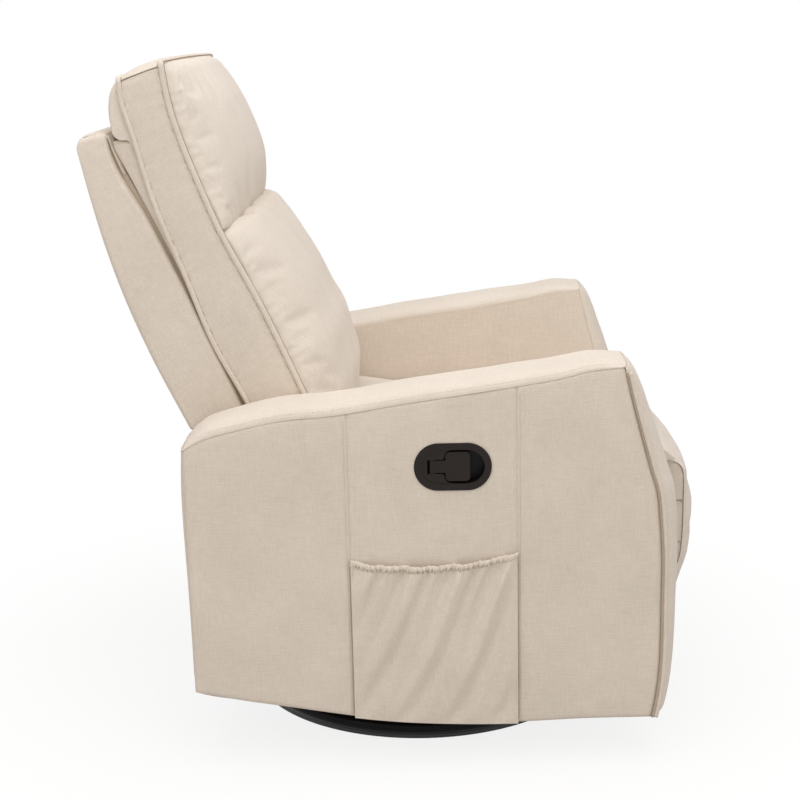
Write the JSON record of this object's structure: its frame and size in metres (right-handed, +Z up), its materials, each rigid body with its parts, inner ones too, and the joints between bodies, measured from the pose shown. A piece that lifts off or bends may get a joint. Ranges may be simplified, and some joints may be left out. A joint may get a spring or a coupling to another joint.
{
  "type": "swivel rocker recliner",
  "caption": "Upholstered swivel rocker recliner with a tubular ring base, padded track arms, a pull-handle leg rest, a side pocket and a winged reclining back.",
  "frame": {"origin": "where the swivel axis meets the floor, in the plane of the floor glide's underside", "axes": "+Z up along the swivel axis, -Y the way the sitter faces, +X towards the sitter's left, so the release handle and pocket are on the -X arm"},
  "size_m": [0.7605, 0.9393, 1.041],
  "materials": {
    "woven_fabric": "matte cream-beige linen-look weave",
    "woven_fabric_light": "matte cream-beige linen-look weave, lit from above",
    "elastic_hem": "gathered elastic hem in the same weave",
    "gloss_black_steel": "gloss black paint",
    "black_steel": "satin black paint",
    "mechanism_steel": "dark satin powder coat",
    "zinc_steel": "zinc plated",
    "polished_steel": "polished",
    "spring_steel": "oiled wire",
    "hardwood": "planed, unfinished",
    "plywood": "sanded, unfinished",
    "handle_plastic": "matte dark brown-black",
    "cable_jacket": "black jacket",
    "glide_plastic": "matte black"
  },
  "bodies": {
    "base": {"base_ring": "gloss_black_steel", "floor_glide": "glide_plastic", "base_crossbars": "black_steel", "swivel_post": "zinc_steel", "bearing_lower_race": "zinc_steel", "bearing_balls": "polished_steel"},
    "swivel": {"bearing_upper_race": "zinc_steel", "swivel_yoke": "black_steel", "rocker_shaft": "zinc_steel", "shaft_retainers": "mechanism_steel", "rocker_springs_front": "spring_steel", "rocker_springs_rear": "spring_steel"},
    "chair": {"seat_cushion": "woven_fabric", "rear_skirt": "woven_fabric", "right_arm_outer_cover": "woven_fabric", "right_arm_inner_cover": "woven_fabric", "right_arm_front_pad": "woven_fabric", "left_arm_outer_cover": "woven_fabric", "left_arm_inner_cover": "woven_fabric", "left_arm_front_pad": "woven_fabric", "pocket_panel": "woven_fabric", "right_arm_top_pad": "woven_fabric_light", "left_arm_top_pad": "woven_fabric_light", "pocket_hem": "elastic_hem", "rocker_frame": "black_steel", "side_plate_right": "mechanism_steel", "side_plate_left": "mechanism_steel", "link_pivot_pins": "zinc_steel", "back_pivot_bolts": "zinc_steel", "flap_pin": "zinc_steel", "seat_springs": "spring_steel", "front_rail": "hardwood", "rear_rail": "hardwood", "right_arm_rails": "hardwood", "left_arm_rails": "hardwood", "right_arm_outer_board": "plywood", "right_arm_inner_board": "plywood", "left_arm_outer_board": "plywood", "left_arm_inner_board": "plywood", "handle_bezel": "handle_plastic", "release_cable": "cable_jacket"},
    "back": {"back_stiles": "hardwood", "back_rails": "hardwood", "back_side_panels": "woven_fabric", "back_rear_panel": "woven_fabric", "back_brackets": "mechanism_steel", "back_cushion": "woven_fabric", "head_pillow": "woven_fabric_light", "lumbar_cushion": "woven_fabric_light"},
    "footrest": {"footrest_board": "plywood", "footrest_pad": "woven_fabric_light", "footrest_brackets": "mechanism_steel"},
    "front_links": {"front_links": "mechanism_steel", "torque_tube": "mechanism_steel"},
    "rear_links": {"rear_links": "mechanism_steel"},
    "upper_links": {"upper_links": "mechanism_steel"},
    "lower_links": {"lower_links": "mechanism_steel"},
    "handle": {"handle_flap": "handle_plastic"},
    "trip": {"trip_lever": "mechanism_steel"}
  },
  "joints": [
    {"name": "swivel_turn", "type": "hinge", "parent": "base", "child": "swivel", "pos_m": [0, 0, 0], "axis": [0, 0, 1], "continuous": true},
    {"name": "rock", "type": "hinge", "parent": "swivel", "child": "chair", "pos_m": [0, 0, 0.09], "axis": [-1, 0, 0], "range_deg": [-7, 12], "stiffness_Nm_per_rad": 700, "deforming": ["rocker_springs_front", "rocker_springs_rear"]},
    {"name": "back_recline", "type": "hinge", "parent": "chair", "child": "back", "pos_m": [0, 0.23, 0.44], "axis": [-1, 0, 0], "range_deg": [0, 35]},
    {"name": "leg_rest", "type": "hinge", "parent": "chair", "child": "footrest", "pos_m": [0, -0.46245, 0.4975], "axis": [-1, 0, 0], "range_deg": [0, 90]},
    {"name": "front_link_swing", "type": "hinge", "parent": "chair", "child": "front_links", "pos_m": [0, -0.3125, 0.3875], "axis": [-1, 0, 0], "range_deg": [0, 90]},
    {"name": "rear_link_swing", "type": "hinge", "parent": "chair", "child": "rear_links", "pos_m": [0, -0.25607, 0.3461], "axis": [-1, 0, 0], "range_deg": [0, 90]},
    {"name": "upper_link_swing", "type": "hinge", "parent": "front_links", "child": "upper_links", "pos_m": [0, -0.175, 0.18999], "axis": [-1, 0, 0], "range_deg": [-90, 0]},
    {"name": "lower_link_swing", "type": "hinge", "parent": "front_links", "child": "lower_links", "pos_m": [0, -0.14059, 0.14057], "axis": [-1, 0, 0], "range_deg": [-90, 0]},
    {"name": "handle_pull", "type": "hinge", "parent": "chair", "child": "handle", "pos_m": [-0.37175, -0.022, 0.466], "axis": [0, 0, -1], "range_deg": [0, 30], "stiffness_Nm_per_rad": 1.2},
    {"name": "trip_swing", "type": "hinge", "parent": "chair", "child": "trip", "pos_m": [0, -0.2, 0.312], "axis": [-1, 0, 0], "range_deg": [0, 12]}
  ],
  "couplings": [
    {"joint": "front_link_swing", "follows": "leg_rest", "ratio": 1},
    {"joint": "rear_link_swing", "follows": "leg_rest", "ratio": 1},
    {"joint": "upper_link_swing", "follows": "leg_rest", "ratio": -1},
    {"joint": "lower_link_swing", "follows": "leg_rest", "ratio": -1},
    {"joint": "trip_swing", "follows": "handle_pull", "ratio": 0.4}
  ]
}
